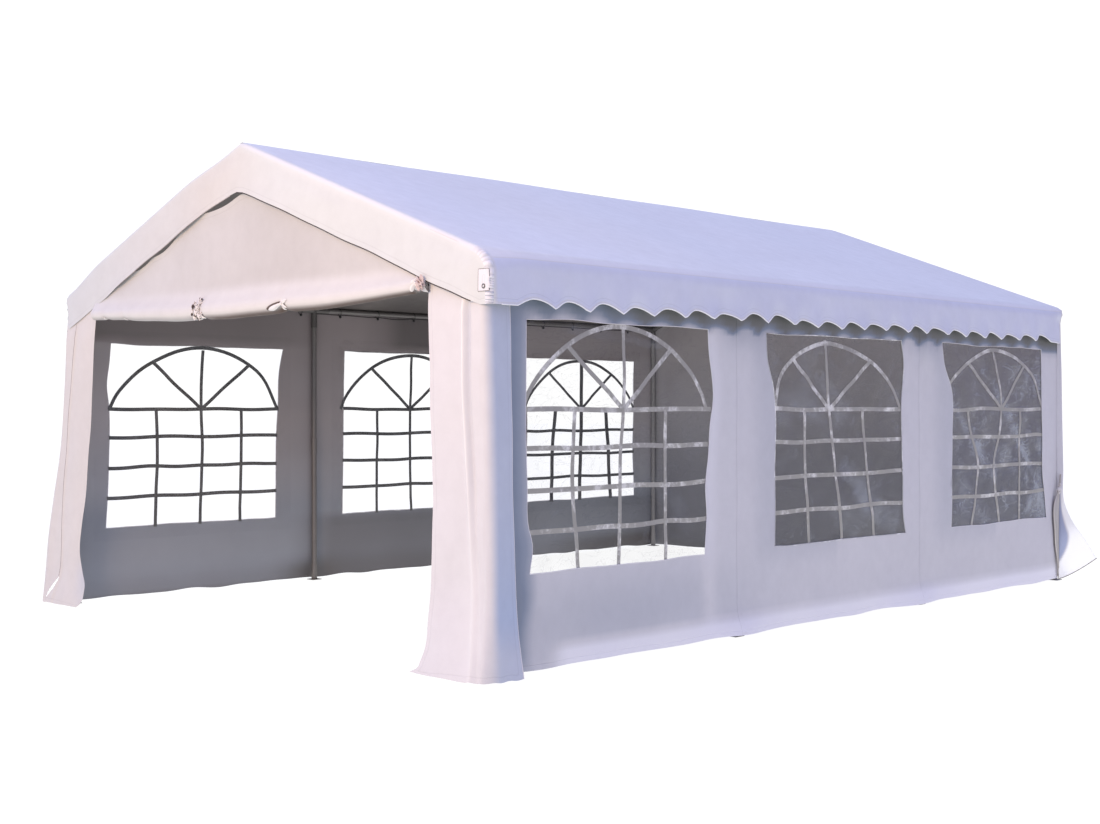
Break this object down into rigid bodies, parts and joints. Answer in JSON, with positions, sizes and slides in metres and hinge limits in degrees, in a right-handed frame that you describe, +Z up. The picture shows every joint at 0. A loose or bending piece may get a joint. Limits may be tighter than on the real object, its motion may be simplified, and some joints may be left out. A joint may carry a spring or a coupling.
{
  "type": "marquee tent",
  "caption": "Tubular steel party tent with a white tarpaulin roof cover, scalloped valances, windowed side walls, a closed rear gable and an open front gable with its door rolled up.",
  "frame": {"origin": "on the ground under the middle of the tent", "axes": "+X across the tent, +Y along it from the open gable to the closed one, +Z up"},
  "size_m": [4.2644, 6.0686, 2.8145],
  "materials": {
    "tube_steel": "grey powder-coated steel tube, satin",
    "connector_steel": "grey powder-coated steel socket, satin",
    "white_tarpaulin": "white polyethylene tarpaulin, semi-gloss",
    "clear_film": "clear PVC window film, glossy and creased"
  },
  "bodies": {
    "root": {"left_post_1": "tube_steel", "right_post_1": "tube_steel", "left_post_2": "tube_steel", "right_post_2": "tube_steel", "left_post_3": "tube_steel", "right_post_3": "tube_steel", "left_post_4": "tube_steel", "right_post_4": "tube_steel", "left_eave_connector_1": "connector_steel", "right_eave_connector_1": "connector_steel", "left_eave_connector_2": "connector_steel", "right_eave_connector_2": "connector_steel", "left_eave_connector_3": "connector_steel", "right_eave_connector_3": "connector_steel", "left_eave_connector_4": "connector_steel", "right_eave_connector_4": "connector_steel", "left_eave_tube_1": "tube_steel", "right_eave_tube_1": "tube_steel", "left_eave_tube_2": "tube_steel", "right_eave_tube_2": "tube_steel", "left_eave_tube_3": "tube_steel", "right_eave_tube_3": "tube_steel", "left_rafter_1": "tube_steel", "right_rafter_1": "tube_steel", "left_rafter_2": "tube_steel", "right_rafter_2": "tube_steel", "left_rafter_3": "tube_steel", "right_rafter_3": "tube_steel", "left_rafter_4": "tube_steel", "right_rafter_4": "tube_steel", "ridge_connector_1": "connector_steel", "ridge_connector_2": "connector_steel", "ridge_connector_3": "connector_steel", "ridge_connector_4": "connector_steel", "ridge_tube_1": "tube_steel", "ridge_tube_2": "tube_steel", "ridge_tube_3": "tube_steel", "roof_cover": "white_tarpaulin", "front_end_wall": "white_tarpaulin", "front_door_roll": "white_tarpaulin", "rear_end_wall": "white_tarpaulin", "left_side_wall": "white_tarpaulin", "right_side_wall": "white_tarpaulin", "left_window_1_pane": "clear_film", "right_window_1_pane": "clear_film", "left_window_2_pane": "clear_film", "right_window_2_pane": "clear_film", "left_window_3_pane": "clear_film", "right_window_3_pane": "clear_film"}
  },
  "joints": []
}
